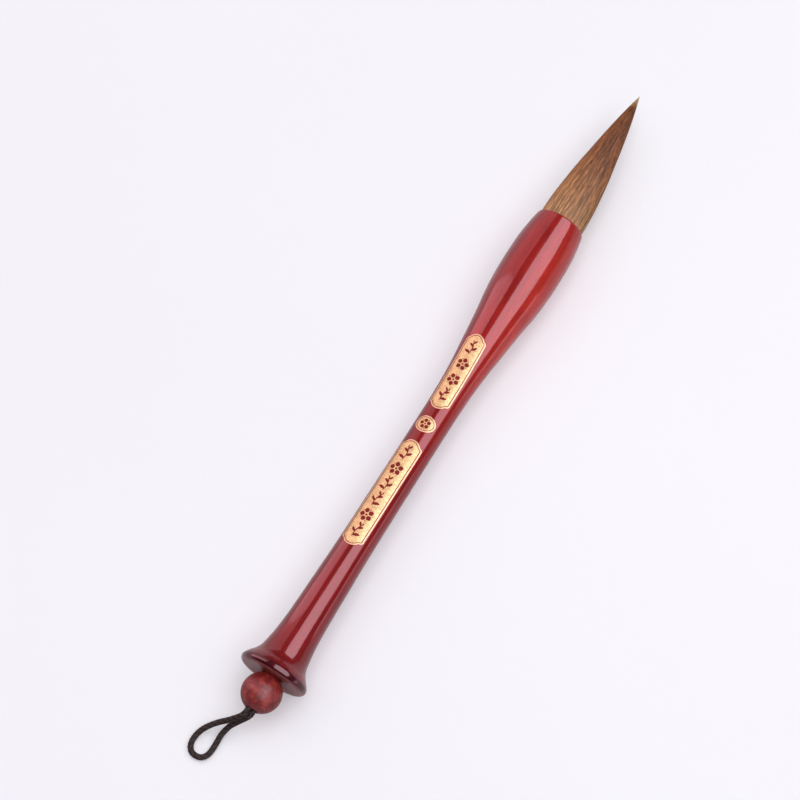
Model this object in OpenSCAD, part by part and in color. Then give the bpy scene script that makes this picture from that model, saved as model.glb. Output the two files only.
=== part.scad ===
// Calligraphy brush lying on a table, axis along X, tail at -X, hair tip at +X.
// Stations along the brush ("x from the tail") are counted from the plane where the bead's seat meets
// the bore. The flange's flat face lies rim_out behind that plane.

/* [Handle] */
// From the tail to the mouth of the ferrule
handle_len = 211; // [205:1:220]
// Where the shaft ends and the ferrule begins, counted from the tail
shaft_end = 160; // [158:1:162]
// Diameter of the flange at the tail
flange_d = 27.6; // [26:0.2:30]
// Diameter of the handle at its waist
waist_d = 12.9; // [12:0.1:14]
// Largest diameter of the ferrule
bulb_d = 23.6; // [23:0.1:26]
// Diameter of the tenons that join shaft, ferrule and flange
tenon_d = 9; // [8:0.1:9.4]
// Length of those tenons
tenon_len = 12; // [10:0.5:14]

/* [Tuft] */
// Bore of the ferrule that holds the hair
mouth_d = 18; // [16:0.1:18.4]
// Depth of that bore
socket_depth = 24; // [20:0.5:26]
// Hair showing in front of the ferrule
tuft_out = 63; // [55:1:70]
// Distance from the mouth to the point about which the hair bends
bend_out = 17; // [14:0.5:18]

/* [Labels] */
// Turn of the labels about the handle, from straight up towards +Y
label_turn = 14; // [0:1:90]
// Widths of the two long labels, measured straight across
lower_label_w = 9; // [7:0.1:10]
upper_label_w = 8.4; // [7:0.1:10]
// Thickness of the foil
label_t = 0.12; // [0.1:0.01:0.2]

/* [Bead and cord] */
// Diameter of the bead
bead_d = 15.6; // [14:0.1:18]
// Bore of the bead and of the flange
cord_bore_d = 5.2; // [5.1:0.1:5.6]
// Diameter of the hanging cord
cord_d = 2.4; // [2:0.1:2.4]

/* [Hidden] */

brush_len = handle_len + tuft_out;
axis_z = flange_d / 2;
waist_r = waist_d / 2;
bulb_r = bulb_d / 2;
mouth_r = mouth_d / 2;
cord_r = cord_d / 2;
round_fn = 96;

// Tail flange: a rounded rim, then a hollow curve into the shaft
rim_round = 1.9;
rim_out = 1.3;
seat_gap = 0.15;
flange_seam = 6;
// Room for the cord's stopper knot, behind the flange's tenon
chamber_d = tenon_d - 0.6;
chamber_len = 10;

// Outside of the handle: [x from the tail, radius]
handle_stations = [
  [2.6, axis_z - 0.85], [5.2, waist_r + 4.4], [7.7, waist_r + 3.2], [11, waist_r + 2.55],
  [16, waist_r + 1.85], [24, waist_r + 1.3], [38, waist_r + 0.85], [58, waist_r + 0.35],
  [90, waist_r + 0.1], [118, waist_r], [132, waist_r + 0.3], [142, waist_r + 1],
  [152, bulb_r - 3.3], [163, bulb_r - 2.1], [handle_len - 38, bulb_r - 0.75],
  [handle_len - 28, bulb_r - 0.08], [handle_len - 19, bulb_r], [handle_len - 12, bulb_r - 0.25],
  [handle_len - 6, bulb_r - 0.9], [handle_len - 1.6, mouth_r + 1.25]
];
lip_round = 0.9;

// Outside of the hair: [distance in front of the mouth, radius]
tuft_stations = [
  [-socket_depth, mouth_r - 0.5], [-12, mouth_r - 0.5], [0, mouth_r - 0.03], [8, mouth_r - 0.15],
  [16, mouth_r - 0.8], [24, mouth_r - 1.7], [32, mouth_r - 2.95], [42, mouth_r - 4.45],
  [52, 2.75], [58, 1.4], [tuft_out, 0.25]
];
bend_x = handle_len + bend_out;
joint_gap = 0.3;
ball_r = smooth_r(tuft_stations, bend_out);
cup_r = ball_r + joint_gap;
// The fixed hair ends in a cup that reaches this far round the ball
cup_reach = 60;
core_r = 3.6;
core_end = 54;
lining_r = 6;
lining_end = 40;
resin_len = 4;
thread_r = 0.2;
thread_turns = 7;
thread_at = 8;

// Labels: [middle, length] from the tail
lower_label = [79.6, 47.65];
oval_label = [111.2, 6.8];
upper_label = [135.4, 33.45];
oval_w = 8;
label_corner = 1.2;
label_bulge = 1.8;

// Bead, and the cord through it
bead_r = bead_d / 2;
bead_x = -bead_r - 0.1;
// How far each strand lies beside the axis, and as far above or below it
strand_off = 0.9;
neck_half = bead_r - 1.3;
// The cord loop outside the bead: [x from where it leaves the bead, y, height above the table]
exit_x = bead_x - bead_r - 0.3;
// The stiff braid touches the table only here and there, so its middle runs a little above cord_r
low_z = cord_r + 0.4;
loop_route = [
  [0, strand_off, axis_z + strand_off], [-1.6, 1.1, axis_z + 0.65], [-3.1, 2.1, axis_z - 0.7],
  [-4.6, 3.9, axis_z - 2.7], [-6.2, 6.1, 8.8], [-7.9, 8.6, 6.8], [-10.3, 11.2, 4.9],
  [-13, 13.2, 3.4], [-15.6, 14.2, 2.4], [-18.2, 14.4, 1.8], [-20.3, 13.8, low_z],
  [-21.8, 12.4, low_z], [-22.3, 10.35, low_z], [-21.8, 8.3, low_z], [-20.3, 6.9, low_z],
  [-18, 6.3, low_z], [-14.7, 6.2, 1.9], [-11.4, 6.2, 2.9], [-8.7, 5.5, 4.4], [-6.8, 4.5, 6.2],
  [-5.2, 3, 8.1], [-3.7, 1.5, 10.1], [-2.4, 0.15, axis_z - 2.1], [-1.2, -0.7, axis_z - 1.15],
  [0, -strand_off, axis_z - strand_off]
];
tube_sides = 8;
rings_per_span = 2;

lacquer = [0.55, 0.10, 0.11];
gold = [0.90, 0.76, 0.50];
hair = [0.58, 0.40, 0.26];
cord_brown = [0.12, 0.08, 0.07];

// ---- curves ----

// Slope of a station list at point i, so that the curve through it is smooth
function slope(p, i) =
  let (a = max(i - 1, 0), b = min(i + 1, len(p) - 1))
  (p[b][1] - p[a][1]) / (p[b][0] - p[a][0]);

// Smooth radius at x of a list of [x, radius] stations
function smooth_r(p, x) =
  let (
    i = min(max([for (k = [0:len(p) - 1]) p[k][0] <= x ? k : 0]), len(p) - 2),
    w = p[i + 1][0] - p[i][0],
    t = (x - p[i][0]) / w,
    rise = p[i + 1][1] - p[i][1]
  )
  p[i][1] + rise * t * t * (3 - 2 * t)
  + w * t * (1 - t) * (slope(p, i) * (1 - t) - slope(p, i + 1) * t);

// [radius, x] points of the handle between two places, with both ends
function skin(from, to, step = 2, proud = 0) =
  [for (x = [from:step:to - 0.01]) [smooth_r(handle_stations, x) + proud, x],
   [smooth_r(handle_stations, to) + proud, to]];

// [radius, x] points of the hair between two distances in front of the mouth
function hair_skin(from, to, step = 2) =
  [for (d = [from:step:to - 0.01]) [smooth_r(tuft_stations, d), handle_len + d],
   [smooth_r(tuft_stations, to), handle_len + to]];

function reversed(p) = [for (i = [len(p) - 1:-1:0]) p[i]];

// Points of a round corner about [r, x], from one angle to another
function round_corner(r, x, radius, from, to, steps = 8) =
  [for (i = [0:steps])
    let (a = from + (to - from) * i / steps) [r + radius * sin(a), x - radius * cos(a)]];

// Catmull-Rom point of a route between points i and i + 1
function route_point(p, i, t) =
  let (
    n = len(p),
    a = p[max(i - 1, 0)],
    b = p[i],
    c = p[min(i + 1, n - 1)],
    d = p[min(i + 2, n - 1)]
  )
  0.5 * (2 * b + (c - a) * t + (2 * a - 5 * b + 4 * c - d) * t * t
         + (3 * b - a - 3 * c + d) * t * t * t);

function dense(p, per_span) =
  [for (i = [0:len(p) - 2], k = [0:per_span - 1]) route_point(p, i, k / per_span), p[len(p) - 1]];

// ---- building blocks ----

// Places a shape that is drawn along Z on the brush's axis, with z = 0 at the tail
module on_axis() {
  translate([-brush_len / 2, 0, axis_z])
    rotate([0, 90, 0])
      children();
}

module turned(points) {
  on_axis()
    rotate_extrude($fn = round_fn)
      polygon(points);
}

module axial_rod(r, from, to) {
  on_axis()
    translate([0, 0, from])
      cylinder(r = r, h = to - from, $fn = round_fn);
}

module axial_ball(r, x) {
  on_axis()
    translate([0, 0, x])
      sphere(r = r, $fn = round_fn);
}

// The cord's two strands, one above and beside the other
module strand_pair(from, to) {
  for (side = [-1, 1])
    translate([0, side * strand_off, side * strand_off])
      axial_rod(cord_r, from, to);
}

// One round tube along a list of points, as a single closed polyhedron
module tube(path, r, sides) {
  n = len(path);
  up = [0, 0, 1];
  rings = [for (i = [0:n - 1])
    let (
      along = path[min(i + 1, n - 1)] - path[max(i - 1, 0)],
      t = along / norm(along),
      across = cross(up, t),
      u = across / norm(across),
      v = cross(t, u)
    )
    for (k = [0:sides - 1])
      path[i] + r * (cos(360 * (k + 0.5) / sides) * u + sin(360 * (k + 0.5) / sides) * v)];
  walls = [for (i = [0:n - 2], k = [0:sides - 1])
    let (a = i * sides + k, b = i * sides + (k + 1) % sides)
    each [[a, a + sides, b], [b, a + sides, b + sides]]];
  start_cap = [[for (k = [0:sides - 1]) k]];
  end_cap = [[for (k = [sides - 1:-1:0]) (n - 1) * sides + k]];
  polyhedron(points = rings, faces = concat(walls, start_cap, end_cap));
}

// ---- handle ----

module tail_flange() {
  color(lacquer)
    difference() {
      union() {
        turned(concat(
          [[0, -rim_out]],
          round_corner(axis_z - rim_round, rim_round - rim_out, rim_round, 0, 125),
          skin(3.2, flange_seam, 0.7),
          [[0, flange_seam]]
        ));
        axial_rod(tenon_d / 2, flange_seam - 1, flange_seam + tenon_len);
      }
      axial_rod(cord_bore_d / 2, -rim_out - 1, flange_seam + tenon_len + 1);
      axial_ball(bead_r + seat_gap, bead_x);
    }
}

module shaft() {
  color(lacquer)
    difference() {
      union() {
        turned(concat([[0, flange_seam]], skin(flange_seam, shaft_end), [[0, shaft_end]]));
        axial_rod(tenon_d / 2, shaft_end - 1, shaft_end + tenon_len);
      }
      axial_rod(tenon_d / 2, flange_seam - 1, flange_seam + tenon_len);
      axial_rod(chamber_d / 2, flange_seam, flange_seam + tenon_len + chamber_len);
    }
}

module ferrule() {
  lip_x = handle_len - lip_round;
  color(lacquer)
    difference() {
      turned(concat(
        [[0, shaft_end]],
        skin(shaft_end, handle_len - 2),
        round_corner(mouth_r + 0.1, lip_x, lip_round, 100, 180),
        [[0, handle_len]]
      ));
      axial_rod(tenon_d / 2, shaft_end - 1, shaft_end + tenon_len + 0.5);
      axial_rod(mouth_r, handle_len - socket_depth, handle_len + 1);
    }
}

// ---- labels ----

// Foil that hugs the handle, cut to a flat outline seen from straight above the label
module foil(place) {
  from = place[0] - place[1] / 2 - 3;
  to = place[0] + place[1] / 2 + 3;
  grid = 2;
  first = flange_seam + grid * floor((from - flange_seam) / grid);
  last = flange_seam + grid * ceil((to - flange_seam) / grid);
  color(gold)
    intersection() {
      turned(concat(skin(first, last), reversed(skin(first, last, grid, label_t))));
      translate([place[0] - brush_len / 2, 0, axis_z])
        rotate([-label_turn, 0, 0])
          linear_extrude(height = axis_z)
            children();
    }
}

// A long plate with round corners and a low bulge at each end
module cartouche(length, width) {
  bulge_w = 0.74 * width;
  bulge_r = (bulge_w * bulge_w / 4 + label_bulge * label_bulge) / (2 * label_bulge);
  body = length - 2 * label_bulge;
  square([body - 2 * label_corner, width], center = true);
  square([body, width - 2 * label_corner], center = true);
  for (sx = [-1, 1], sy = [-1, 1])
    translate([sx * (body / 2 - label_corner), sy * (width / 2 - label_corner)])
      circle(r = label_corner, $fn = 48);
  for (sx = [-1, 1])
    intersection() {
      translate([sx * (length / 2 - bulge_r), 0])
        circle(r = bulge_r, $fn = 96);
      translate([sx * body / 2, 0])
        square([2 * label_bulge, bulge_w], center = true);
    }
}

module label_lower() {
  foil(lower_label)
    cartouche(lower_label[1], lower_label_w);
}

module label_oval() {
  sides = 40;
  foil(oval_label)
    polygon([for (i = [0:sides - 1])
      [oval_label[1] / 2 * cos(360 * i / sides), oval_w / 2 * sin(360 * i / sides)]]);
}

module label_upper() {
  foil(upper_label)
    cartouche(upper_label[1], upper_label_w);
}

// ---- hair ----

module root_resin() {
  back = handle_len - socket_depth;
  color("goldenrod")
    axial_rod(mouth_r, back, back + resin_len);
}

module binding_thread() {
  first = handle_len - socket_depth + thread_at;
  color("ivory")
    for (i = [0:thread_turns - 1])
      on_axis()
        translate([0, 0, first + i * 2.2 * thread_r])
          rotate_extrude($fn = round_fn)
            translate([mouth_r - 0.5 + thread_r, 0])
              circle(r = thread_r, $fn = 24);
}

// Outline of the hair fixed in the ferrule, before the cup is cut from it
module fixed_hair(r) {
  back = handle_len - socket_depth + resin_len;
  front = bend_x - cup_r * cos(cup_reach);
  difference() {
    intersection() {
      turned(concat(
        [[0, back]],
        hair_skin(back - handle_len, front - handle_len),
        [[0, front]]
      ));
      axial_rod(r, back - 1, front + 1);
    }
    axial_ball(cup_r, bend_x);
  }
}

module core_hair_root() {
  color(hair)
    fixed_hair(core_r);
}

module lining_hair_root() {
  color(hair)
    difference() {
      fixed_hair(lining_r);
      axial_rod(core_r, 0, brush_len);
    }
}

module cover_hair_root() {
  color(hair)
    difference() {
      fixed_hair(mouth_r + 1);
      axial_rod(lining_r, 0, brush_len);
    }
}

// A layer of the bending hair: a rod that starts behind the ball and runs to a point
module layer_cone(r, end) {
  turned([[0, bend_x - 2 * ball_r], [r, bend_x - 2 * ball_r], [r, bend_x],
          [0, handle_len + end]]);
}

// The whole bending part: half a ball behind the bend, the hair's own outline before it
module bending_hair() {
  turned(concat(
    round_corner(0, bend_x, ball_r, 0, 84, 14),
    hair_skin(bend_out, tuft_out),
    [[0, brush_len]]
  ));
}

module core_hair_tip() {
  color(hair)
    intersection() {
      bending_hair();
      layer_cone(core_r, core_end);
    }
}

module lining_hair_tip() {
  color(hair)
    difference() {
      intersection() {
        bending_hair();
        layer_cone(lining_r, lining_end);
      }
      layer_cone(core_r, core_end);
    }
}

module cover_hair_tip() {
  color(hair)
    difference() {
      bending_hair();
      layer_cone(lining_r, lining_end);
      layer_cone(core_r, core_end);
    }
}

// ---- cord and bead ----

// Stopper knot that bears on the end of the flange's tenon
module cord_knot() {
  front = flange_seam + tenon_len;
  color(cord_brown) {
    for (i = [0, 1])
      on_axis()
        translate([0, 0, front + cord_r + i * 1.8 * cord_r])
          rotate_extrude($fn = round_fn)
            translate([1.9 * cord_r, 0])
              circle(r = cord_r, $fn = 32);
    axial_rod(1.9 * cord_r, front + 0.5 * cord_r, front + 3.3 * cord_r);
  }
}

module cord_anchor() {
  color(cord_brown)
    strand_pair(0, flange_seam + tenon_len);
}

module cord_neck() {
  color(cord_brown)
    strand_pair(bead_x - neck_half, bead_x + neck_half);
}

module bead() {
  color(lacquer)
    difference() {
      axial_ball(bead_r, bead_x);
      axial_rod(cord_bore_d / 2, bead_x - bead_d, bead_x + bead_d);
    }
}

module hang_loop() {
  color(cord_brown)
    translate([exit_x - brush_len / 2, 0, 0])
      tube(dense(loop_route, rings_per_span), cord_r, tube_sides);
}

tail_flange();
shaft();
ferrule();
label_lower();
label_oval();
label_upper();
root_resin();
binding_thread();
core_hair_root();
lining_hair_root();
cover_hair_root();
core_hair_tip();
lining_hair_tip();
cover_hair_tip();
cord_knot();
cord_anchor();
cord_neck();
bead();
hang_loop();
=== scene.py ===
"""Looks of a large calligraphy brush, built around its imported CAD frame.

The brush lies on a table along X, with its tail at -X and its hair tip at +X. Sizes here are in
millimetres, and places along the brush are counted as in the CAD: from the plane where the bead's
seat in the flange meets the bore. The function `at` turns them into points of the frame, in metres.
"""

import math

import bmesh
import bpy
import numpy as np
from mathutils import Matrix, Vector


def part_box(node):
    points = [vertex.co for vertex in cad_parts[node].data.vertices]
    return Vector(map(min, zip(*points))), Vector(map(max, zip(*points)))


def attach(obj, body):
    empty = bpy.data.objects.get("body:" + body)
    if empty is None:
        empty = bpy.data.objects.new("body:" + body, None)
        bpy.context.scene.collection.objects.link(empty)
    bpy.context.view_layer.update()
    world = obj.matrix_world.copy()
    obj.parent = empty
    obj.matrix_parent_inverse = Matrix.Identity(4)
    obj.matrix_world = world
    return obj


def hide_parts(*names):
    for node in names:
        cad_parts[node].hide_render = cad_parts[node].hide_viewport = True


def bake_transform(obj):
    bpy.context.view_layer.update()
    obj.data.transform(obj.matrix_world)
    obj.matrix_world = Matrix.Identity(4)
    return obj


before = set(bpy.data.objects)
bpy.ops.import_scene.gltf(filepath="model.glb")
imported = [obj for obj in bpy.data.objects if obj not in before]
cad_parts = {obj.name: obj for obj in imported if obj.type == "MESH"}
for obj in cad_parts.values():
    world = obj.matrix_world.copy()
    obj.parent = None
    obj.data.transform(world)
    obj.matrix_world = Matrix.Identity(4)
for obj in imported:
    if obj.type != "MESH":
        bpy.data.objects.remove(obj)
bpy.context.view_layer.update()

MM = 0.001
scene = bpy.context.scene


# ---- places and sizes, from the frame ----

# How far the flange's flat face lies behind the place from which the rest is counted
RIM_OUT = 1.3
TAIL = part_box("tail_flange")[0].x + RIM_OUT * MM


def from_tail(x):
    """Place along the brush, in millimetres, of a frame x."""
    return round((x - TAIL) / MM, 3)


def width_of(node):
    """Size of a CAD node along Y, in millimetres."""
    low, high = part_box(node)
    return round((high.y - low.y) / MM, 3)


FLANGE_R = width_of("tail_flange") / 2
AXIS_HEIGHT = FLANGE_R
FLANGE_SEAM = from_tail(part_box("shaft")[0].x)
FLANGE_TENON_END = from_tail(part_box("tail_flange")[1].x)
SHAFT_END = from_tail(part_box("ferrule")[0].x)
SHAFT_TENON_END = from_tail(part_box("shaft")[1].x)
SOCKET_BACK = from_tail(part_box("root_resin")[0].x)
HANDLE_LEN = from_tail(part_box("ferrule")[1].x)
BRUSH_LEN = from_tail(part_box("cover_hair_tip")[1].x)
BULB_R = width_of("ferrule") / 2
MOUTH_R = width_of("root_resin") / 2
TUFT_OUT = BRUSH_LEN - HANDLE_LEN
BEAD_R = width_of("bead") / 2
BEAD_X = from_tail(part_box("bead")[1].x) - math.sqrt(BEAD_R ** 2 - 2.6 ** 2)

WAIST_R = 6.45
TENON_R = 4.5
CHAMBER_R = 4.2
CHAMBER_END = FLANGE_TENON_END + 10
CORD_BORE_R = 2.6
CORD_R = 1.2
STRAND_OFF = 0.9
EXIT_X = -16

HANDLE_STATIONS = [
    (2.6, FLANGE_R - 0.85), (5.2, WAIST_R + 4.4), (7.7, WAIST_R + 3.2), (11, WAIST_R + 2.55),
    (16, WAIST_R + 1.85), (24, WAIST_R + 1.3), (38, WAIST_R + 0.85), (58, WAIST_R + 0.35),
    (90, WAIST_R + 0.1), (118, WAIST_R), (132, WAIST_R + 0.3), (142, WAIST_R + 1),
    (152, BULB_R - 3.3), (163, BULB_R - 2.1), (HANDLE_LEN - 38, BULB_R - 0.75),
    (HANDLE_LEN - 28, BULB_R - 0.08), (HANDLE_LEN - 19, BULB_R), (HANDLE_LEN - 12, BULB_R - 0.25),
    (HANDLE_LEN - 6, BULB_R - 0.9), (HANDLE_LEN - 1.6, MOUTH_R + 1.25),
]

# The last few hairs reach a little past the CAD's solid point
TIP_OUT = TUFT_OUT + 1

# Outside of the hair: distance in front of the mouth, radius
TUFT_STATIONS = [
    (-24, MOUTH_R - 0.5), (-12, MOUTH_R - 0.5), (0, MOUTH_R - 0.03), (8, MOUTH_R - 0.15),
    (16, MOUTH_R - 0.8), (24, MOUTH_R - 1.7), (32, MOUTH_R - 2.95), (42, MOUTH_R - 4.45),
    (52, 2.75), (58, 1.5), (TIP_OUT, 0.12),
]

# The cord loop: x from where it leaves the bead, y, height above the table
LOOP_ROUTE = [
    (0, STRAND_OFF, 13.8 + STRAND_OFF), (-1.6, 1.1, 14.45), (-3.1, 2.1, 13.1), (-4.6, 3.9, 11.1),
    (-6.2, 6.1, 8.8), (-7.9, 8.6, 6.8), (-10.3, 11.2, 4.9), (-13, 13.2, 3.4), (-15.6, 14.2, 2.4),
    (-18.2, 14.4, 1.8), (-20.3, 13.8, 1.6), (-21.8, 12.4, 1.6), (-22.3, 10.35, 1.6),
    (-21.8, 8.3, 1.6), (-20.3, 6.9, 1.6), (-18, 6.3, 1.6), (-14.7, 6.2, 1.9), (-11.4, 6.2, 2.9),
    (-8.7, 5.5, 4.4), (-6.8, 4.5, 6.2), (-5.2, 3, 8.1), (-3.7, 1.5, 10.1), (-2.4, 0.15, 11.7),
    (-1.2, -0.7, 12.65), (0, -STRAND_OFF, 13.8 - STRAND_OFF),
]


def at(x, radius=0.0, turn=0.0):
    """Point at a distance from the brush's axis. turn is in degrees, from straight up to +Y."""
    angle = math.radians(turn)
    return Vector((
        TAIL + x * MM,
        radius * math.sin(angle) * MM,
        (AXIS_HEIGHT + radius * math.cos(angle)) * MM,
    ))


def slope(stations, i):
    """Slope of a list of stations at point i."""
    x0, r0 = stations[max(i - 1, 0)]
    x1, r1 = stations[min(i + 1, len(stations) - 1)]
    return (r1 - r0) / (x1 - x0)


def smooth_radius(stations, x):
    """Radius at x on the smooth curve through a list of (x, radius) stations."""
    behind = [k for k in range(len(stations) - 1) if stations[k][0] <= x]
    i = max(behind, default=0)
    (x0, r0), (x1, r1) = stations[i], stations[i + 1]
    span = x1 - x0
    t = (x - x0) / span
    bend = slope(stations, i) * (1 - t) - slope(stations, i + 1) * t
    return r0 + (r1 - r0) * t * t * (3 - 2 * t) + span * t * (1 - t) * bend


def handle_radius(x):
    return smooth_radius(HANDLE_STATIONS, x)


def tuft_radius(distance):
    return smooth_radius(TUFT_STATIONS, distance)


# ---- camera, light and floor ----

# Brightness of the room round the lights: as a fill, and as seen in polished surfaces
ROOM_FILL = 0.2
ROOM_REFLECTED = 0.04


def make_camera():
    """A long lens high above the table, towards the tail and -Y."""
    aim = Vector((-0.0163, 0.0184, 0))
    spot = Vector((-0.3431, -0.1793, 1.044))
    data = bpy.data.cameras.new("camera")
    data.lens = 129.6
    data.sensor_width = 36
    camera = bpy.data.objects.new("camera", data)
    camera.location = spot
    camera.rotation_mode = "QUATERNION"
    camera.rotation_quaternion = (aim - spot).to_track_quat("-Z", "Y")
    scene.collection.objects.link(camera)
    scene.camera = camera


def softbox(name, turn, middle, distance, width, length, radiance, tint, shown="glossy"):
    """A rectangular light that faces the brush. turn is in degrees, from straight up to -Y, and
    middle is its place along X. A glossy light is seen only in reflections, and a diffuse one only
    lights the colour of things."""
    angle = math.radians(turn)
    data = bpy.data.lights.new(name, "AREA")
    data.shape = "RECTANGLE"
    data.size = length
    data.size_y = width
    data.energy = radiance * math.pi * width * length
    data.color = tint
    light = bpy.data.objects.new(name, data)
    light.location = (middle, -math.sin(angle) * distance, math.cos(angle) * distance)
    light.rotation_euler = (angle, 0, 0)
    light.visible_camera = False
    light.visible_glossy = shown == "glossy"
    light.visible_diffuse = shown == "diffuse"
    scene.collection.objects.link(light)
    return data


def make_studio():
    """Lights and room. Each light's numbers are turn, middle, distance, width, length, radiance."""
    softbox("key_softbox", 25.5, 0.4, 1.9, 1.92, 4.4, 4.1, (0.9, 0.88, 0.98))
    softbox("left_softbox", -60, -0.1, 1.8, 2.2, 1.2, 2.9, (1, 0.6, 0.68))
    softbox("left_far_softbox", -60, 1.5, 1.8, 2.2, 2.0, 1.0, (1, 0.66, 0.74))
    softbox("right_card", 89, -0.45, 1.8, 0.6, 1.9, 2.0, (1, 0.7, 0.8))
    softbox("right_far_card", 89, 1.55, 1.8, 0.5, 2.1, 0.28, (1, 0.8, 0.9))
    softbox("ceiling_light", -20, 0.3, 2.2, 2.4, 2.4, 0.75, (1, 0.99, 1), "diffuse")
    fill = softbox("fill_light", 14, 0.2, 2.2, 2.4, 2.4, 2.6, (1, 0.99, 1), "diffuse")
    # The fill casts no shadow of its own, so it softens the others
    fill.use_shadow = False
    world = bpy.data.worlds.new("studio")
    world.use_nodes = True
    background = world.node_tree.nodes["Background"]
    background.inputs["Color"].default_value = (0.97, 0.97, 1, 1)
    tree = world.node_tree
    reflected = add(tree, "ShaderNodeLightPath").outputs["Is Glossy Ray"]
    strength = between(tree, reflected, 0, 1, ROOM_FILL, ROOM_REFLECTED)
    tree.links.new(strength, background.inputs["Strength"])
    scene.world = world
    scene.view_settings.view_transform = "Standard"


def make_floor(material):
    """A plain floor, 8 m square."""
    half = 4
    corners = [(-half, -half, 0), (half, -half, 0), (half, half, 0), (-half, half, 0)]
    mesh = bpy.data.meshes.new("floor")
    mesh.from_pydata(corners, [], [(0, 1, 2, 3)])
    mesh.materials.append(material)
    floor = bpy.data.objects.new("floor", mesh)
    scene.collection.objects.link(floor)


# ---- shader nodes ----

def add(tree, kind, inputs=None, **settings):
    """Adds a shader node. An input is a value, or a socket to link."""
    made = tree.nodes.new(kind)
    for key, value in settings.items():
        setattr(made, key, value)
    for key, value in (inputs or {}).items():
        if isinstance(value, bpy.types.NodeSocket):
            tree.links.new(value, made.inputs[key])
        else:
            made.inputs[key].default_value = value
    return made


def mix(tree, factor, a, b, blend="MIX"):
    """Mix of two colours."""
    inputs = {0: factor, 6: a, 7: b}
    made = add(tree, "ShaderNodeMix", inputs, data_type="RGBA", blend_type=blend)
    return made.outputs[2]


def multiply(tree, a, b):
    """Product of two colours."""
    return mix(tree, 1.0, a, b, "MULTIPLY")


def ramp(tree, factor, stops):
    """Colour ramp through stops of (position, red, green, blue)."""
    made = add(tree, "ShaderNodeValToRGB", {"Fac": factor})
    elements = made.color_ramp.elements
    while len(elements) < len(stops):
        elements.new(0.5)
    for element, (position, *colour) in zip(elements, stops):
        element.position = position
        element.color = (*colour, 1)
    return made.outputs["Color"]


def greys(tree, factor, *stops):
    """Grey ramp through stops of (position, grey)."""
    return ramp(tree, factor, [(position, grey, grey, grey) for position, grey in stops])


def between(tree, value, low, high, at_low=0.0, at_high=1.0):
    """Number that runs from at_low to at_high while value runs from low to high."""
    inputs = {
        "Value": value, "From Min": low, "From Max": high, "To Min": at_low, "To Max": at_high,
    }
    return add(tree, "ShaderNodeMapRange", inputs).outputs["Result"]


def object_place(tree, stretch=(1, 1, 1)):
    """Object coordinates, in metres, each multiplied by its own number."""
    coordinates = add(tree, "ShaderNodeTexCoord")
    inputs = {"Vector": coordinates.outputs["Object"], "Scale": stretch}
    return add(tree, "ShaderNodeMapping", inputs).outputs["Vector"]


def speckle(tree, place, scale, detail=3.0, roughness=0.5):
    """Noise from 0 to 1. scale is the number of features in a metre."""
    inputs = {"Vector": place, "Scale": scale, "Detail": detail, "Roughness": roughness}
    return add(tree, "ShaderNodeTexNoise", inputs).outputs[0]


def bump(tree, height, strength, distance):
    """Normal of a surface that height raises by up to distance, in metres."""
    inputs = {"Height": height, "Strength": strength, "Distance": distance}
    return add(tree, "ShaderNodeBump", inputs).outputs["Normal"]


def new_material(name, settings):
    """A material, its node tree and its main shader, with plain settings on the shader's sockets."""
    material = bpy.data.materials.new(name)
    material.use_nodes = True
    tree = material.node_tree
    shader = tree.nodes["Principled BSDF"]
    for key, value in settings.items():
        shader.inputs[key].default_value = value
    return material, tree, shader


def grain(tree):
    """Fine wood grain along the brush, under lacquer: broad streaks and short dark pores."""
    streaks = speckle(tree, object_place(tree, (0.05, 1, 1)), 900, 4)
    pores = speckle(tree, object_place(tree, (0.08, 1, 1)), 3200, 2)
    broad = greys(tree, streaks, (0.3, 0.78), (0.7, 1.12))
    fine = greys(tree, pores, (0.32, 0.72), (0.45, 1.0))
    return multiply(tree, broad, fine)


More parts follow.
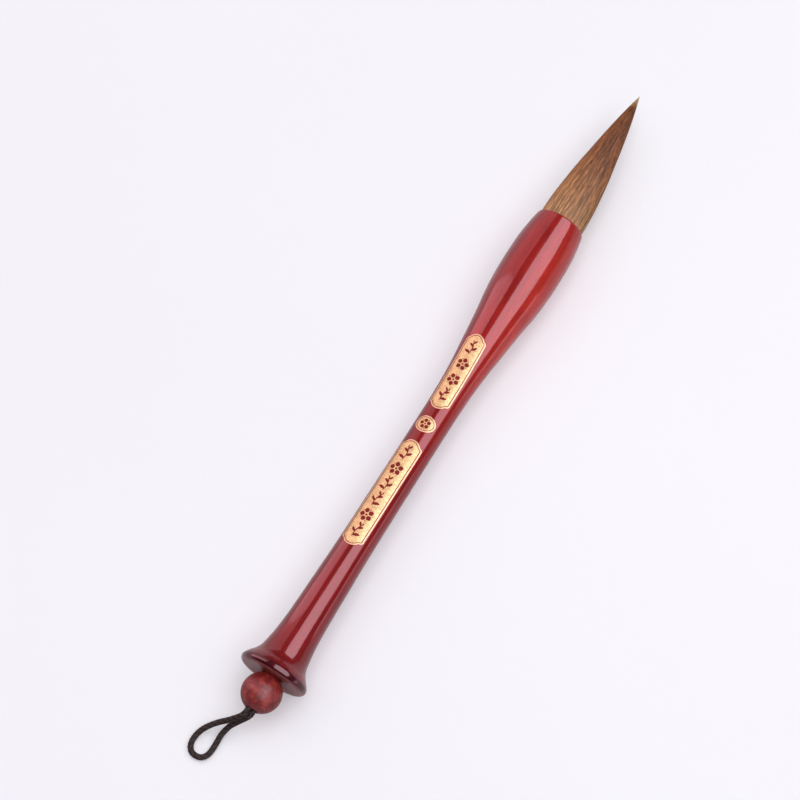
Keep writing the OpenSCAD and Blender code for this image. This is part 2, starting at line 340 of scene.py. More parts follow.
def make_lacquer():
    """Clear red lacquer on turned wood: darker towards the tail, with painted light that makes the -Y
    side of the ferrule warmer, and a painted dark reflection on the rim.
    """
    material, tree, shader = new_material("red_lacquer", {
        "Roughness": 0.3, "Specular IOR Level": 0.5, "Specular Tint": (1, 0.1, 0.1, 1),
        "Coat Roughness": 0.09,
    })
    coordinates = add(tree, "ShaderNodeTexCoord")
    split = add(tree, "ShaderNodeSeparateXYZ", {"Vector": coordinates.outputs["Object"]})
    along = split.outputs["X"]
    reach = between(tree, along, TAIL, TAIL + HANDLE_LEN * MM)
    red = ramp(tree, reach, [
        (0.0, 0.19, 0.009, 0.011), (0.2, 0.2, 0.008, 0.009), (0.6, 0.25, 0.011, 0.010),
        (0.75, 0.3, 0.012, 0.010), (1.0, 0.29, 0.014, 0.013),
    ])
    # Painted light: the base colour turns a lighter orange on the -Y side of the ferrule, standing in
    # for the light that falls on that side
    side = between(tree, split.outputs["Y"], -2 * MM, -8 * MM)
    ferrule = greys(tree, reach, (0.5, 0.0), (0.66, 1.0), (0.84, 0.8), (1.0, 0.35))
    red = mix(tree, multiply(tree, side, ferrule), red, (0.53, 0.034, 0.022, 1))
    cloud = speckle(tree, object_place(tree, (0.4, 1, 1)), 130, 3)
    red = multiply(tree, red, greys(tree, cloud, (0.35, 0.86), (0.65, 1.1)))
    red = multiply(tree, red, grain(tree))
    # Painted dark reflection on the rim, in the first 6 mm from the flange's flat face: near-black
    # base colour standing in for the dark room mirrored there
    face = TAIL - RIM_OUT * MM
    rim = between(tree, along, face, face + 6 * MM)
    painted_dark_reflection = greys(tree, rim, (0.02, 0.0), (0.1, 1.0), (0.42, 1.0), (0.62, 0.0))
    red = mix(tree, painted_dark_reflection, red, (0.035, 0.003, 0.006, 1))
    # The flat face round the bead is rubbed dull and brown
    rubbed = greys(tree, rim, (0.012, 1.0), (0.03, 0.0))
    red = mix(tree, rubbed, red, (0.17, 0.045, 0.04, 1))
    tree.links.new(red, shader.inputs["Base Color"])
    coat = greys(tree, rubbed, (0.0, 1.0), (1.0, 0.3))
    tree.links.new(coat, shader.inputs["Coat Weight"])
    ripple = speckle(tree, object_place(tree, (0.3, 1, 1)), 420, 2)
    tree.links.new(bump(tree, ripple, 0.05, 0.0002), shader.inputs["Coat Normal"])
    return material


def make_bead_wood():
    """Stained wood, rubbed with wax: mottled, with a soft shine."""
    material, tree, shader = new_material("bead_wood", {
        "Roughness": 0.5, "Specular IOR Level": 0.3, "Coat Weight": 0.25, "Coat Roughness": 0.25,
    })
    blotch = speckle(tree, object_place(tree), 380, 4, 0.6)
    red = ramp(tree, blotch, [
        (0.34, 0.11, 0.007, 0.009), (0.5, 0.2, 0.014, 0.014), (0.68, 0.34, 0.04, 0.028),
    ])
    fibres = speckle(tree, object_place(tree, (1, 0.15, 1)), 2600, 3)
    red = multiply(tree, red, greys(tree, fibres, (0.3, 0.8), (0.6, 1.08)))
    tree.links.new(red, shader.inputs["Base Color"])
    tree.links.new(bump(tree, blotch, 0.25, 0.0003), shader.inputs["Normal"])
    return material


def make_foil(name, pale, dark):
    """Gold paper foil with a fine speckle."""
    material, tree, shader = new_material(name, {"Roughness": 0.42, "Metallic": 0.25})
    dots = speckle(tree, object_place(tree), 1500, 3, 0.75)
    patches = speckle(tree, object_place(tree), 500, 2)
    gold = ramp(tree, dots, [(0.4, *dark), (0.58, *pale)])
    gold = multiply(tree, gold, greys(tree, patches, (0.3, 0.86), (0.7, 1.06)))
    tree.links.new(gold, shader.inputs["Base Color"])
    tree.links.new(bump(tree, dots, 0.5, 0.00008), shader.inputs["Normal"])
    return material


def make_ink():
    """Dark red printing ink, thinner in places."""
    material, tree, shader = new_material("label_ink", {"Roughness": 0.5, "Specular IOR Level": 0.15})
    cover = speckle(tree, object_place(tree), 1800, 3)
    ink = ramp(tree, cover, [(0.3, 0.15, 0.005, 0.006), (0.7, 0.3, 0.013, 0.012)])
    tree.links.new(ink, shader.inputs["Base Color"])
    return material


def make_hair():
    """Weasel hair: tan at the root, brown towards the point, which is pale. Uses two attributes
    of the mesh: reach, from 0 at the mouth to 1 at the tip, and tone, from dark to light."""
    material, tree, shader = new_material("hair", {"Roughness": 0.45, "Specular IOR Level": 0.25})
    reach = add(tree, "ShaderNodeAttribute", attribute_name="reach").outputs["Fac"]
    tone = add(tree, "ShaderNodeAttribute", attribute_name="tone").outputs["Fac"]
    light = ramp(tree, reach, [
        (0.0, 0.74, 0.39, 0.18), (0.25, 0.6, 0.27, 0.11), (0.5, 0.43, 0.155, 0.058),
        (0.75, 0.37, 0.12, 0.04), (0.92, 0.4, 0.14, 0.045), (0.965, 0.66, 0.42, 0.22),
        (1.0, 0.9, 0.78, 0.56),
    ])
    dark = ramp(tree, reach, [
        (0.0, 0.17, 0.085, 0.042), (0.35, 0.125, 0.056, 0.027), (0.7, 0.09, 0.034, 0.017),
        (0.92, 0.12, 0.043, 0.018), (0.97, 0.5, 0.32, 0.17), (1.0, 0.78, 0.66, 0.45),
    ])
    locks = speckle(tree, object_place(tree, (0.07, 1, 1)), 950, 2, 0.6)
    lock_tone = greys(tree, locks, (0.38, 0.0), (0.62, 0.95))
    strand_tone = greys(tree, tone, (0.05, 0.0), (0.95, 1.0))
    colour = mix(tree, mix(tree, 0.5, strand_tone, lock_tone), dark, light)
    along = speckle(tree, object_place(tree, (0.12, 1, 1)), 2600, 2)
    colour = multiply(tree, colour, greys(tree, along, (0.35, 0.66), (0.65, 1.25)))
    tree.links.new(colour, shader.inputs["Base Color"])
    return material


def make_inner_hair():
    """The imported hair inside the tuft, seen only when the brush is taken apart."""
    material, tree, shader = new_material("inner_hair", {"Roughness": 0.55})
    lines = speckle(tree, object_place(tree, (0.04, 1, 1)), 2400, 3)
    brown = ramp(tree, lines, [(0.3, 0.1, 0.055, 0.03), (0.7, 0.42, 0.2, 0.09)])
    tree.links.new(brown, shader.inputs["Base Color"])
    tree.links.new(bump(tree, lines, 0.6, 0.0002), shader.inputs["Normal"])
    return material


def make_thread():
    """Waxed linen thread."""
    material, tree, shader = new_material("linen_thread", {"Roughness": 0.75, "Sheen Weight": 0.3})
    twist = speckle(tree, object_place(tree), 4200, 3)
    cream = ramp(tree, twist, [(0.3, 0.45, 0.36, 0.24), (0.7, 0.78, 0.7, 0.54)])
    tree.links.new(cream, shader.inputs["Base Color"])
    tree.links.new(bump(tree, twist, 0.7, 0.0001), shader.inputs["Normal"])
    return material


def make_resin():
    """Hard amber-coloured glue."""
    material, tree, shader = new_material("resin", {"Roughness": 0.2, "Coat Weight": 0.4})
    cloud = speckle(tree, object_place(tree), 350, 3)
    amber = ramp(tree, cloud, [(0.3, 0.24, 0.08, 0.015), (0.7, 0.58, 0.27, 0.06)])
    tree.links.new(amber, shader.inputs["Base Color"])
    return material


def make_cord_fibre(name, dark, light):
    """Dark braiding yarn, with fine fibres that catch the light."""
    material, tree, shader = new_material(name, {"Roughness": 0.5, "Specular IOR Level": 0.25})
    fibres = speckle(tree, object_place(tree), 5200, 3)
    brown = ramp(tree, fibres, [(0.32, *dark), (0.7, *light)])
    tree.links.new(brown, shader.inputs["Base Color"])
    tree.links.new(bump(tree, fibres, 0.6, 0.0001), shader.inputs["Normal"])
    return material


def make_floor_paint():
    """Plain pale paint, a little mottled."""
    material, tree, shader = new_material("floor_paint", {"Roughness": 0.8})
    mottle = speckle(tree, object_place(tree), 3, 2)
    white = ramp(tree, mottle, [(0.3, 0.84, 0.83, 0.87), (0.7, 0.86, 0.85, 0.89)])
    # Polished surfaces show it dimmer, as they would with the brush raised on a rest
    reflected = add(tree, "ShaderNodeLightPath").outputs["Is Glossy Ray"]
    white = mix(tree, reflected, white, (0.5, 0.42, 0.45, 1))
    tree.links.new(white, shader.inputs["Base Color"])
    return material


# ---- meshes ----

def piece(bm, name, materials, sharp=38):
    """An object from bm, shaded smooth except across edges sharper than `sharp` degrees."""
    bmesh.ops.recalc_face_normals(bm, faces=bm.faces)
    for face in bm.faces:
        face.smooth = True
    for edge in bm.edges:
        if edge.is_manifold and edge.calc_face_angle() > math.radians(sharp):
            edge.smooth = False
    mesh = bpy.data.meshes.new(name)
    bm.to_mesh(mesh)
    bm.free()
    for material in materials:
        mesh.materials.append(material)
    made = bpy.data.objects.new(name, mesh)
    scene.collection.objects.link(made)
    return made


def stand_for(obj, slot, *nodes):
    """obj is shown in place of CAD nodes, which it hides. slot, the name of their finish, is not
    used.
    """
    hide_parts(*nodes)
    return obj


def dress(node, material):
    """Gives a CAD node that keeps its shape a finished material."""
    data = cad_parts[node].data
    data.materials.clear()
    data.materials.append(material)


def lathe(outline, sides=144):
    """Closed solid of revolution about the brush's axis, from a list of (x, radius). The list
    begins and ends on the axis, or else it is a closed ring round a bore."""
    bm = bmesh.new()
    rings = []
    for x, radius in outline:
        count = sides if radius > 1e-6 else 1
        rings.append([bm.verts.new(at(x, radius, 360 * k / count)) for k in range(count)])
    pairs = list(zip(rings, rings[1:]))
    if len(rings[0]) > 1:
        pairs.append((rings[-1], rings[0]))
    for a, b in pairs:
        for k in range(sides):
            corners = [a[k % len(a)], a[(k + 1) % len(a)], b[(k + 1) % len(b)], b[k % len(b)]]
            bm.faces.new(list(dict.fromkeys(corners)))
    return bm


def steps(start, end, step):
    """Evenly spaced numbers from start to end, with both ends."""
    count = max(1, math.ceil(abs(end - start) / step))
    return [start + (end - start) * k / count for k in range(count + 1)]


def skin(start, end, step=1.0):
    """Outside of the handle between two places."""
    return [(x, handle_radius(x)) for x in steps(start, end, step)]


def arc(x, radius, corner, start, end, count=12):
    """Round corner about (x, radius), from one angle to another. 0 points to -X, 90 outwards."""
    angles = [math.radians(start + (end - start) * k / count) for k in range(count + 1)]
    return [(x - corner * math.cos(a), radius + corner * math.sin(a)) for a in angles]


def make_handle(lacquer):
    """The handle's three turned pieces, from the tail to the mouth, each with a tenon or a socket."""
    rim = 1.9
    lip = 0.9
    seat = BEAD_R + 0.15
    seat_start = 180 - math.degrees(math.asin(CORD_BORE_R / seat))
    seat_end = math.degrees(math.acos((BEAD_X + RIM_OUT) / seat))
    flange = lathe(
        arc(BEAD_X, 0, seat, seat_start, seat_end)
        + arc(rim - RIM_OUT, FLANGE_R - rim, rim, 0, 125, 20)
        + skin(3.2, FLANGE_SEAM, 0.25)
        + [(FLANGE_SEAM, TENON_R), (FLANGE_TENON_END, TENON_R), (FLANGE_TENON_END, CORD_BORE_R)]
    )
    shaft = lathe(
        [(CHAMBER_END, 0), (CHAMBER_END, CHAMBER_R), (FLANGE_TENON_END, CHAMBER_R),
         (FLANGE_TENON_END, TENON_R), (FLANGE_SEAM, TENON_R)]
        + skin(FLANGE_SEAM, 20, 0.4)
        + skin(20, SHAFT_END)[1:]
        + [(SHAFT_END, TENON_R), (SHAFT_TENON_END, TENON_R), (SHAFT_TENON_END, 0)]
    )
    ferrule = lathe(
        [(SHAFT_TENON_END + 0.5, 0), (SHAFT_TENON_END + 0.5, TENON_R), (SHAFT_END, TENON_R)]
        + skin(SHAFT_END, HANDLE_LEN - 2)
        + arc(HANDLE_LEN - lip, MOUTH_R + 0.1, lip, 100, 180)
        + [(HANDLE_LEN - 0.1, MOUTH_R), (SOCKET_BACK, MOUTH_R), (SOCKET_BACK, 0)]
    )
    for name, bm in [("tail_flange", flange), ("shaft", shaft), ("ferrule", ferrule)]:
        turned = stand_for(piece(bm, name + "_wood", [lacquer]), "lacquered_wood", name)
        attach(turned, "handle")


def make_bead(wood):
    """A ball with a bore whose edges are rounded."""
    edge = 0.35
    start = math.degrees(math.asin((CORD_BORE_R + edge) / BEAD_R))
    mouth = BEAD_R * math.cos(math.radians(start)) - 0.1
    ball = lathe(
        [(BEAD_X - mouth + edge, CORD_BORE_R)]
        + arc(BEAD_X, 0, BEAD_R, start, 180 - start, 72)
        + [(BEAD_X + mouth - edge, CORD_BORE_R)],
        96,
    )
    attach(stand_for(piece(ball, "bead_wood", [wood]), "bead_wood", "bead"), "bead")


# ---- labels ----

# Sizes in millimetres. The labels' middles are turned this many degrees from straight up, to +Y
LABEL_TURN = 14
# The foil stands proud of the lacquer, and its underside lies a little inside it
FOIL = 0.12
FOIL_SUNK = 0.05
# Half thickness of the print, whose middle is level with the foil's face
INK = 0.04
# A long label's round corners, and how far the bulge at each end reaches past them
CORNER = 1.2
BULGE = 1.8
# Width of the rim, and of the printed line along its inner side
RIM_W = 0.45
LINE_W = 0.27


def cartouche(width):
    """Half width of a long label at a distance from its end: a low bulge, then round corners."""
    bulge_w = 0.74 * width
    bulge_r = (bulge_w ** 2 / 4 + BULGE ** 2) / (2 * BULGE)

    def half_width(gap):
        if gap <= BULGE:
            return math.sqrt(gap * (2 * bulge_r - gap))
        into = min(gap - BULGE, CORNER)
        return width / 2 - CORNER + math.sqrt(into * (2 * CORNER - into))

    bulge = [0.012, 0.06, 0.15, 0.3, RIM_W, 0.7, 1, 1.4, BULGE - 0.02]
    corner = [BULGE + step for step in (0.02, 0.12, 0.3, 0.55, 0.85, CORNER)]
    return half_width, bulge + corner


def oval(length, width):
    """Half width of an oval label at a distance from its end."""
    def half_width(gap):
        return width / 2 * math.sqrt(max(0, 1 - (1 - 2 * gap / length) ** 2))
    ends = [0.01, 0.04, 0.1, 0.2, RIM_W, 0.7, 1, 1.4, 1.9, 2.4]
    return half_width, ends


class Label:
    """Foil hugging the handle. u runs along the brush from the label's middle, and v straight
    across it, towards +Y."""

    def __init__(self, middle, length, shape):
        self.middle = middle
        self.length = length
        self.half_width, self.ends = shape
        self.bm = bmesh.new()

    def vert(self, u, v, proud):
        radius = handle_radius(self.middle + u)
        across = math.degrees(math.asin(v / radius))
        return self.bm.verts.new(at(self.middle + u, radius + proud, LABEL_TURN + across))

    def face(self, corners, material):
        self.bm.faces.new(corners).material_index = material

    def rows(self):
        """Distances from the label's -X end, closer together at the two ends."""
        half = self.length / 2
        first = self.ends + steps(self.ends[-1], half, 0.8)[1:]
        return first + [self.length - gap for gap in reversed(first[:-1])]

    def foil(self):
        """The foil itself, with a rim of another finish along its edge."""
        inner = [k / 10 for k in range(-10, 11)]
        sheets = []
        for proud in (FOIL, -FOIL_SUNK):
            sheet = []
            for row in self.rows():
                half = self.half_width(min(row, self.length - row))
                inside = max(half - RIM_W, half * 0.5)
                places = [-half] + [inside * k for k in inner] + [half]
                sheet.append([self.vert(row - self.length / 2, v, proud) for v in places])
            sheets.append(sheet)
        top, bottom = sheets
        rows = self.rows()
        last = len(top[0]) - 1
        for i in range(len(rows) - 1):
            gap = min(rows[i], rows[i + 1], self.length - rows[i], self.length - rows[i + 1])
            for j in range(last):
                rim = 1 if j in (0, last - 1) or gap < RIM_W - 0.01 else 0
                for sheet in sheets:
                    quad = [sheet[i][j], sheet[i + 1][j], sheet[i + 1][j + 1], sheet[i][j + 1]]
                    self.face(quad, rim)
            for j in (0, last):
                self.face([top[i][j], top[i + 1][j], bottom[i + 1][j], bottom[i][j]], 1)
        for i in (0, len(rows) - 1):
            for j in range(last):
                self.face([top[i][j], top[i][j + 1], bottom[i][j + 1], bottom[i][j]], 1)

    def band(self, left, right, closed=False):
        """Raised print between two lines of (u, v) points."""
        top, bottom = [], []
        for k in range(5):
            share = k / 4
            line = [(u0 + (u1 - u0) * share, v0 + (v1 - v0) * share)
                    for (u0, v0), (u1, v1) in zip(left, right)]
            top.append([self.vert(u, v, FOIL + INK) for u, v in line])
            bottom.append([self.vert(u, v, FOIL - INK) for u, v in line])
        loop = top + bottom[::-1]
        count = len(left)
        for i in range(count if closed else count - 1):
            n = (i + 1) % count
            for a, b in zip(loop, loop[1:] + loop[:1]):
                self.face([a[i], a[n], b[n], b[i]], 2)
        if not closed:
            for i in (0, count - 1):
                self.face([line[i] for line in loop], 2)

    def stroke(self, points, widths):
        """Print along a line of (u, v) points, as wide as the widths say."""
        left, right = [], []
        for i, (u, v) in enumerate(points):
            u0, v0 = points[max(i - 1, 0)]
            u1, v1 = points[min(i + 1, len(points) - 1)]
            run = math.hypot(u1 - u0, v1 - v0)
            across = ((v0 - v1) / run * widths[i] / 2, (u1 - u0) / run * widths[i] / 2)
            left.append((u + across[0], v + across[1]))
            right.append((u - across[0], v - across[1]))
        self.band(left, right)

    def outline(self, inset):
        """Closed outline of the label, set in from its edge."""
        half = self.length / 2
        side = [(row - half, self.half_width(min(row, self.length - row))) for row in self.rows()]
        points = side + [(u, -v) for u, v in reversed(side)]
        moved = []
        for i, (u, v) in enumerate(points):
            u0, v0 = points[i - 1]
            u1, v1 = points[(i + 1) % len(points)]
            run = math.hypot(u1 - u0, v1 - v0)
            moved.append((u + (v1 - v0) / run * inset, v - (u1 - u0) / run * inset))
        return moved

    def border(self):
        """A printed line inside the rim."""
        self.band(self.outline(RIM_W), self.outline(RIM_W + LINE_W), closed=True)

    def disc(self, u, v, radius):
        """A round printed dot."""
        angles = [math.radians(180 * (k + 0.5) / 8) for k in range(8)]
        points = [(u - radius * math.cos(a), v) for a in angles]
        self.stroke(points, [2 * radius * math.sin(a) for a in angles])

    def leaf(self, u, v, turn, length, width, curl=0.25):
        """A brushed leaf that starts at (u, v) and points along turn degrees, from +u to +v."""
        points, widths = [], []
        for k in range(9):
            t = k / 8
            side = curl * length * t * t
            ahead = length * t
            angle = math.radians(turn)
            points.append((u + ahead * math.cos(angle) - side * math.sin(angle),
                           v + ahead * math.sin(angle) + side * math.cos(angle)))
            widths.append(0.08 + width * math.sin(math.pi * min(1, t * 0.9 + 0.07)) ** 0.8)
        self.stroke(points, widths)

    def blossom(self, u, v, size, turn):
        """Five petals round an eye, with a dot between each two."""
        for k in range(5):
            angle = turn + 72 * k
            a = math.radians(angle)
            self.leaf(u + 0.3 * size * math.cos(a), v + 0.3 * size * math.sin(a),
                      angle, 0.66 * size, 0.62 * size, 0)
            b = math.radians(angle + 36)
            self.disc(u + 0.82 * size * math.cos(b), v + 0.82 * size * math.sin(b), 0.07 * size)
        self.disc(u, v, 0.15 * size)

    def sprig(self, u, v, size, lean, flip):
        """A bending stem with leaves on both sides and a bud at its end."""
        stem = []
        for k in range(9):
            t = k / 8 - 0.5
            stem.append((u + 2 * size * t, v + flip * size * (lean * t + 0.9 * t * t - 0.12)))
        self.stroke(stem, [0.16 + 0.3 * math.sin(math.pi * (k + 1) / 11) for k in range(9)])
        for k, (turn, share) in enumerate([(62, 0.9), (-58, 0.8), (48, 0.75), (-50, 0.62)]):
            base = stem[1 + 2 * k]
            self.leaf(*base, flip * turn, share * size, 0.42 * size * share, 0.2 * flip)
        self.disc(stem[-1][0] + 0.25, stem[-1][1], 0.3)


def make_labels(foil, rim, ink):
    """Two long labels and an oval one between them, with blossoms and sprigs a pitch apart."""
    lower = Label(79.6, 47.65, cartouche(9))
    upper = Label(135.4, 33.45, cartouche(8.4))
    middle = Label(111.2, 6.8, oval(6.8, 8))
    pitch = 7.1
    for k in range(6):
        u = pitch * (k - 2.5)
        if k % 3 == 1:
            lower.blossom(u, 0.1, 2.9, 20 * k)
        else:
            lower.sprig(u, 0.0, 2.9, 0.5 - 0.35 * (k % 2), 1 if k % 2 else -1)
    for k in range(4):
        u = pitch * (k - 1.5)
        if k % 3 == 0:
            upper.sprig(u, 0.0, 2.7, 0.5 - 0.12 * k, 1 if k else -1)
        else:
            upper.blossom(u, -0.1, 2.7, 31 * k)
    middle.blossom(0, 0, 2.3, 12)
    for name, label in [("label_lower", lower), ("label_oval", middle), ("label_upper", upper)]:
        label.foil()
        label.border()
        made = piece(label.bm, name + "_foil", [foil, rim, ink], 60)
        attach(stand_for(made, "gold_foil", name), "handle")


# ---- hair ----

# The hair's surface begins this far inside the ferrule
HAIR_INSIDE = 6
# How far the tuft's tip leans to +Y
TUFT_LEAN = 0.8
# Radius of the tuft's body, as a share of the tuft's outside
BODY_SHARE = 0.945
# The shortest single hairs end this far in front of the mouth
SHORTEST_HAIR = 14


def tone_at(turn, distance):
    """Smooth light and dark locks round the tuft, from 0 to 1. -Y is its darker side."""
    a = np.asarray(turn)
    d = np.asarray(distance)
    locks = (0.07 * np.sin(7 * a + 1.3 + 0.02 * d) + 0.09 * np.sin(19 * a + 0.4 - 0.03 * d)
             + 0.1 * np.sin(37 * a + 2.2))
    return 0.5 + 0.24 * np.sin(a + 0.2) - 0.13 * np.cos(2 * a + 0.6) + locks


def hair_points(distance, radius, turn):
    """Frame points of hair: the tuft leans a little to +Y towards its tip."""
    lean = TUFT_LEAN * (np.clip(distance, 0, None) / TUFT_OUT) ** 2
    return np.stack([
        TAIL + (HANDLE_LEN + distance) * MM,
        (radius * np.sin(turn) + lean) * MM,
        (AXIS_HEIGHT + radius * np.cos(turn)) * MM,
    ], axis=-1)


def hair_object(name, points, faces, reach, tone, material):
    """An object from frame points, with the two attributes that the hair's colour reads."""
    mesh = bpy.data.meshes.new(name)
    mesh.from_pydata(points.reshape(-1, 3), [], faces)
    for key, values in (("reach", reach), ("tone", tone)):
        attribute = mesh.attributes.new(key, "FLOAT", "POINT")
        attribute.data.foreach_set("value", np.clip(values, 0, 1).ravel().astype(np.float32))
    mesh.shade_smooth()
    mesh.materials.append(material)
    made = bpy.data.objects.new(name, mesh)
    scene.collection.objects.link(made)
    return made


def radii(distance):
    """Tuft radius at each of many distances."""
    table = np.linspace(-HAIR_INSIDE, TIP_OUT, 400)
    return np.interp(distance, table, [tuft_radius(d) for d in table])


def hair_mass(material):
    """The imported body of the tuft, with grooves between its locks."""
    sides = 160
    distance = np.array(steps(-HAIR_INSIDE, TIP_OUT - 0.8, 1.0))
    turn = np.linspace(0, 2 * math.pi, sides, endpoint=False)
    grid_d, grid_a = np.meshgrid(distance, turn, indexing="ij")
    groove = (0.012 * np.sin(43 * grid_a) + 0.012 * np.sin(29 * grid_a + 1 + 0.03 * grid_d)
              + 0.008 * np.sin(71 * grid_a + 2))
    points = hair_points(grid_d, radii(grid_d) * (BODY_SHARE + groove), grid_a)
    rows = len(distance)
    faces = []
    for i in range(rows - 1):
        for k in range(sides):
            n = (k + 1) % sides
            faces.append((i * sides + k, (i + 1) * sides + k, (i + 1) * sides + n, i * sides + n))
    faces.append(tuple(range(sides)))
    faces.append(tuple(rows * sides - 1 - k for k in range(sides)))
    tone = tone_at(grid_a, grid_d) - 0.22
    return hair_object("hair_mass", points, faces, grid_d / TUFT_OUT, tone, material)


def hair_strands(name, count, seed, material):
    """Single hairs laid over the body of the tuft, each a thin three-sided spike."""
    rng = np.random.default_rng(seed)
    rings = 14
    sides = 3
    t = np.linspace(0, 1, rings)[None, :]
    # The number of hairs that reach a place falls with the tuft's girth there
    share = rng.uniform(0, 1, (count, 1))
    table = np.linspace(SHORTEST_HAIR, TIP_OUT, 200)
    ratio = radii(table) / radii(SHORTEST_HAIR)
    end = np.interp(share, ratio[::-1], table[::-1])
    start = -rng.uniform(2, 5.5, (count, 1))
    distance = start + (end - start) * t
    turn = rng.uniform(0, 2 * math.pi, (count, 1))
    drift = rng.normal(0, 0.05, (count, 1))
    wave = rng.uniform(0, 6.3, (count, 1))
    # Neighbouring hairs draw together into locks
    locks = 38
    pull = -np.sin(locks * turn) / locks * 0.75
    turn = turn + drift * t + pull * t + 0.012 * np.sin(5 * t + wave)
    depth = 1 - 0.055 * rng.uniform(0, 1, (count, 1)) ** 1.5
    radius = radii(distance) * depth * (1 + 0.004 * np.sin(9 * t + wave))
    centre = hair_points(distance, radius, turn)
    thick = rng.uniform(0.06, 0.115, (count, 1)) * (1 - 0.8 * t ** 3)
    points = np.empty((count, rings, sides, 3))
    for k in range(sides):
        angle = turn + 2 * math.pi * k / sides
        points[:, :, k, 0] = centre[..., 0]
        points[:, :, k, 1] = centre[..., 1] + thick * np.sin(angle) * MM
        points[:, :, k, 2] = centre[..., 2] + thick * np.cos(angle) * MM
    faces = []
    for h in range(count):
        base = h * rings * sides
        for i in range(rings - 1):
            for k in range(sides):
                a = base + i * sides
                n = (k + 1) % sides
                faces.append((a + k, a + sides + k, a + sides + n, a + n))
        tip = base + (rings - 1) * sides
        faces.append((base, base + 1, base + 2))
        faces.append((tip + 2, tip + 1, tip))
    tone = tone_at(turn, distance) + rng.normal(0, 0.27, (count, 1))
    spread = np.repeat(tone[..., None], sides, axis=2)
    reach = np.repeat((distance / TUFT_OUT)[..., None], sides, axis=2)
    return hair_object(name, points, faces, reach, spread, material)


def make_tuft(material, inner):
    """The visible hair, and its layers."""
    tuft = [
        hair_mass(material),
        hair_strands("hair_strands_1", 1700, 11, material),
        hair_strands("hair_strands_2", 1700, 12, material),
    ]
    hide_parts("cover_hair_root", "cover_hair_tip")
    for layer in tuft:
        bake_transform(layer)
    for name in ("core_hair_root", "lining_hair_root", "core_hair_tip", "lining_hair_tip"):
        dress(name, inner)


# ---- cord ----

# Length of the cord, in millimetres, in which a yarn goes once round it
BRAID_PITCH = 5.0
BRAID_STRANDS = 8
# Half sizes of an oval yarn, its place from the cord's middle, and how far it weaves in and out
YARN_THICK = 0.24
YARN_WIDE = 0.42
YARN_RING = 0.87
YARN_WEAVE = 0.1
BRAID_CORE_R = 0.74
BROWN_YARNS = (0, 3, 4, 7)


def spline(points, per_span):
    """Catmull-Rom curve through points."""
    made = []
    for i in range(len(points) - 1):
        a = points[max(i - 1, 0)]
        b, c = points[i], points[i + 1]
        d = points[min(i + 2, len(points) - 1)]
        for k in range(per_span):
            t = k / per_span
            made.append(0.5 * (2 * b + (c - a) * t + (2 * a - 5 * b + 4 * c - d) * t * t
                               + (3 * b - a - 3 * c + d) * t * t * t))
    made.append(points[-1])
    return made


def even(points, step):
    """The same line with evenly spaced points, and the distance along it of each."""
    line = np.array(points)
    lengths = np.concatenate([[0], np.cumsum(np.linalg.norm(np.diff(line, axis=0), axis=1))])
    places = np.linspace(0, lengths[-1], max(2, round(lengths[-1] / step) + 1))
    spaced = np.stack([np.interp(places, lengths, line[:, k]) for k in range(3)], axis=1)
    return [Vector(p) for p in spaced], places


def directions(line):
    """For each point of a line, two directions across it that turn as little as they can."""
    tangents = []
    for i in range(len(line)):
        run = line[min(i + 1, len(line) - 1)] - line[max(i - 1, 0)]
        tangents.append(run.normalized())
    side = tangents[0].cross(Vector((0, 0, 1))).normalized()
    frames = []
    for tangent in tangents:
        side = (side - tangent * side.dot(tangent)).normalized()
        frames.append((side, tangent.cross(side)))
    return frames


def tube(bm, centres, frames, radii_uv, sides):
    """A closed oval tube along centres. frames are its two directions across at each."""
    ru, rv = radii_uv
    rings = []
    for centre, (u, v) in zip(centres, frames):
        ring = []
        for k in range(sides):
            a = 2 * math.pi * k / sides
            ring.append(bm.verts.new(centre + ru * math.cos(a) * u + rv * math.sin(a) * v))
        rings.append(ring)
    faces = [bm.faces.new(rings[0]), bm.faces.new(rings[-1])]
    for a, b in zip(rings, rings[1:]):
        for k in range(sides):
            n = (k + 1) % sides
            faces.append(bm.faces.new([a[k], a[n], b[n], b[k]]))
    return faces


def braid(bm, route):
    """A round braid along a route in metres: half of its yarns turn each way, over and under."""
    line, places = even(route, BRAID_PITCH * MM / 24)
    frames = directions(line)
    core = (BRAID_CORE_R * MM, BRAID_CORE_R * MM)
    tube(bm, line[::3] + line[-1:], frames[::3] + frames[-1:], core, 8)
    for strand in range(BRAID_STRANDS):
        way = 1 if strand % 2 else -1
        first = 2 * math.pi * (strand // 2) / (BRAID_STRANDS / 2)
        centres, outwards = [], []
        for point, (u, v), place in zip(line, frames, places):
            turns = place / (BRAID_PITCH * MM)
            angle = first + way * 2 * math.pi * turns
            reach = YARN_RING + way * YARN_WEAVE * math.cos(2 * math.pi * BRAID_STRANDS / 2 * turns)
            outwards.append(math.cos(angle) * u + math.sin(angle) * v)
            centres.append(point + reach * MM * outwards[-1])
        across = []
        for i, out in enumerate(outwards):
            run = centres[min(i + 1, len(centres) - 1)] - centres[max(i - 1, 0)]
            across.append((out, out.cross(run).normalized()))
        yarn = tube(bm, centres, across, (YARN_THICK * MM, YARN_WIDE * MM), 8)
        for face in yarn:
            face.material_index = 1 if strand in BROWN_YARNS else 0


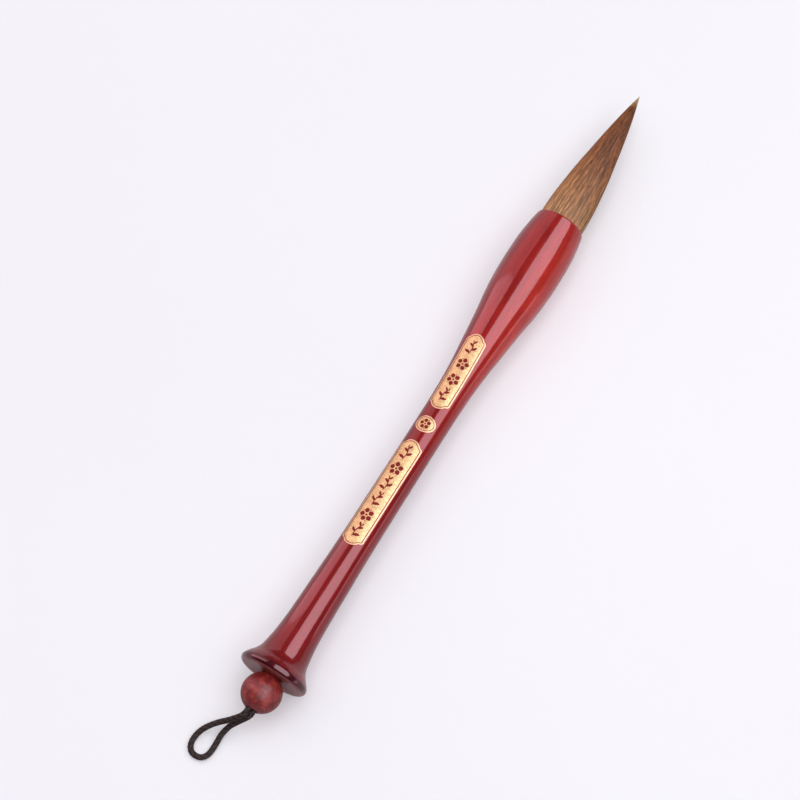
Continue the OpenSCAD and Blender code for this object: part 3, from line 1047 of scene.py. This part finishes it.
def loop_points():
    """The loop's own points in the frame, in metres."""
    return [Vector((TAIL + (EXIT_X + x) * MM, y * MM, z * MM)) for x, y, z in LOOP_ROUTE]


def make_cord(yarns):
    """The loop outside the bead, and the two strands that run on from it to the knot."""
    route = spline(loop_points(), 8)
    bm = bmesh.new()
    braid(bm, route)
    loop = stand_for(piece(bm, "cord_loop", yarns, 80), "braided_cord", "hang_loop")
    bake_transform(loop)

    # Inside the bead, and inside the flange as far as the knot. The bead turns in its seat like a
    # ball, so the strands are parted just there, out of sight
    stretches = [("neck", EXIT_X, -1, "neck"), ("anchor", 0.5, FLANGE_TENON_END, "handle")]
    for name, start, end, body in stretches:
        bm = bmesh.new()
        for side in (-1, 1):
            straight = [at(start), at(end)]
            aside = Vector((0, side * STRAND_OFF * MM, side * STRAND_OFF * MM))
            braid(bm, [point + aside for point in straight])
        pair = stand_for(piece(bm, "cord_" + name + "_pair", yarns, 80),
                         "braided_cord", "cord_" + name)
        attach(pair, body)


def make_knot(yarns):
    """The two strands wound up into a stopper knot behind the flange."""
    winding = 1.9 * CORD_R
    points = []
    for k in range(61):
        t = k / 60
        x = FLANGE_TENON_END + CORD_R + 1.8 * CORD_R * t
        points.append(at(x, winding, 90 + 720 * t))
    bm = bmesh.new()
    braid(bm, points)
    knot = stand_for(piece(bm, "cord_knot_winding", yarns, 80), "braided_cord", "cord_knot")
    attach(knot, "handle")


# ---- the scene ----

make_camera()
make_studio()
make_floor(make_floor_paint())

cord_yarns = [
    make_cord_fibre("cord_fibre_black", (0.004, 0.003, 0.003), (0.016, 0.009, 0.008)),
    make_cord_fibre("cord_fibre_brown", (0.016, 0.008, 0.007), (0.06, 0.033, 0.027)),
]
make_cord(cord_yarns)
make_knot(cord_yarns)

make_handle(make_lacquer())
make_bead(make_bead_wood())
make_labels(
    make_foil("gold_foil", (0.84, 0.56, 0.28), (0.6, 0.36, 0.15)),
    make_foil("foil_rim", (0.9, 0.6, 0.38), (0.78, 0.47, 0.27)),
    make_ink(),
)
make_tuft(make_hair(), make_inner_hair())
dress("root_resin", make_resin())
dress("binding_thread", make_thread())
